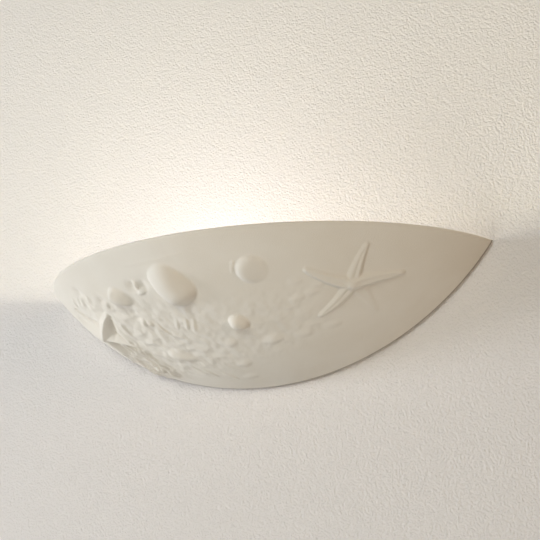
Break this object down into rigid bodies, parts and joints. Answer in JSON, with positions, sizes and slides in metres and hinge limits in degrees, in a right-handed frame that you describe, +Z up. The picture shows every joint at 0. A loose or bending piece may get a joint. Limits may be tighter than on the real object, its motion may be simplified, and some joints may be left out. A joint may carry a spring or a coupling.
{
  "type": "ceramic wall lamp",
  "caption": "Half-bowl wall uplighter of matt unglazed ceramic with a raised sea-bed relief, clamped to a steel wall bracket that carries a small screw-cap bulb.",
  "frame": {"origin": "on the wall plane, midway between the two wall-screw slots of the bracket", "axes": "+X along the wall to the right as seen facing it, +Y into the wall, +Z up"},
  "size_m": [0.4, 0.159, 0.0985],
  "materials": {
    "bisque": "matt unglazed",
    "zinc_steel": "zinc plated",
    "bright_steel": "bright plated",
    "fibre": "vulcanised fibre",
    "black_rubber": "moulded",
    "steatite": "satin",
    "nickel_brass": "nickel plated",
    "brass": "machined",
    "spring_bronze": "rolled strip",
    "tinned_copper": "tinned",
    "solder": "cast",
    "block_plastic": "moulded",
    "brown_insulation": "extruded",
    "blue_insulation": "extruded",
    "green_yellow_insulation": "extruded, two colours",
    "globe_glass": "frosted inside",
    "black_glass": "fused glass",
    "filament_phosphor": "phosphor coated"
  },
  "bodies": {
    "wall_bracket": {"wall_plate": "zinc_steel", "weld_studs": "zinc_steel", "weld_nuts": "zinc_steel", "rear_pads": "fibre", "cable_bush": "black_rubber", "holder_bracket": "zinc_steel", "bracket_washers": "bright_steel", "bracket_nuts": "bright_steel", "lampholder_body": "steatite", "lampholder_shell": "nickel_brass", "centre_contact": "spring_bronze", "side_contact": "spring_bronze", "holder_screws": "bright_steel", "holder_terminal_screws": "brass", "terminal_block": "block_plastic", "terminal_clamps": "brass", "terminal_screws": "brass", "terminal_nuts": "bright_steel", "earth_washer": "bright_steel", "earth_lug": "tinned_copper", "earth_nut": "bright_steel", "live_wire": "brown_insulation", "neutral_wire": "blue_insulation", "earth_wire": "green_yellow_insulation"},
    "bowl": {"ceramic_bowl": "bisque"},
    "left_washer": {"screw_washer_left": "fibre"},
    "right_washer": {"screw_washer_right": "fibre"},
    "left_thumbscrew": {"thumbscrew_left": "nickel_brass"},
    "right_thumbscrew": {"thumbscrew_right": "nickel_brass"},
    "bulb": {"bulb_globe": "globe_glass", "bulb_cap": "nickel_brass", "bulb_insulator": "black_glass", "bulb_contact": "solder", "glass_stem": "globe_glass", "filament_supports": "bright_steel", "filaments": "filament_phosphor"}
  },
  "joints": [
    {"name": "bowl_draw_off", "type": "slide", "parent": "wall_bracket", "child": "bowl", "axis": [0, -1, 0], "range_m": [0, 0.15]},
    {"name": "bulb_turn", "type": "hinge", "parent": "wall_bracket", "child": "bulb", "pos_m": [0.024, -0.044, -0.01376], "axis": [-1, 0, 0], "range_deg": [0, 1800]},
    {"name": "left_screw_back_out", "type": "slide", "parent": "bowl", "child": "left_washer", "axis": [0, -1, 0], "range_m": [0, 0.0048]},
    {"name": "left_screw_turn", "type": "hinge", "parent": "left_washer", "child": "left_thumbscrew", "pos_m": [-0.123, -0.017, 0], "axis": [0, -1, 0], "range_deg": [0, 2160]},
    {"name": "right_screw_back_out", "type": "slide", "parent": "bowl", "child": "right_washer", "axis": [0, -1, 0], "range_m": [0, 0.0048]},
    {"name": "right_screw_turn", "type": "hinge", "parent": "right_washer", "child": "right_thumbscrew", "pos_m": [0.123, -0.017, 0], "axis": [0, -1, 0], "range_deg": [0, 2160]}
  ],
  "couplings": [
    {"joint": "left_screw_back_out", "follows": "left_screw_turn", "m_per_rad": 0.00012732},
    {"joint": "right_screw_back_out", "follows": "right_screw_turn", "m_per_rad": 0.00012732}
  ]
}
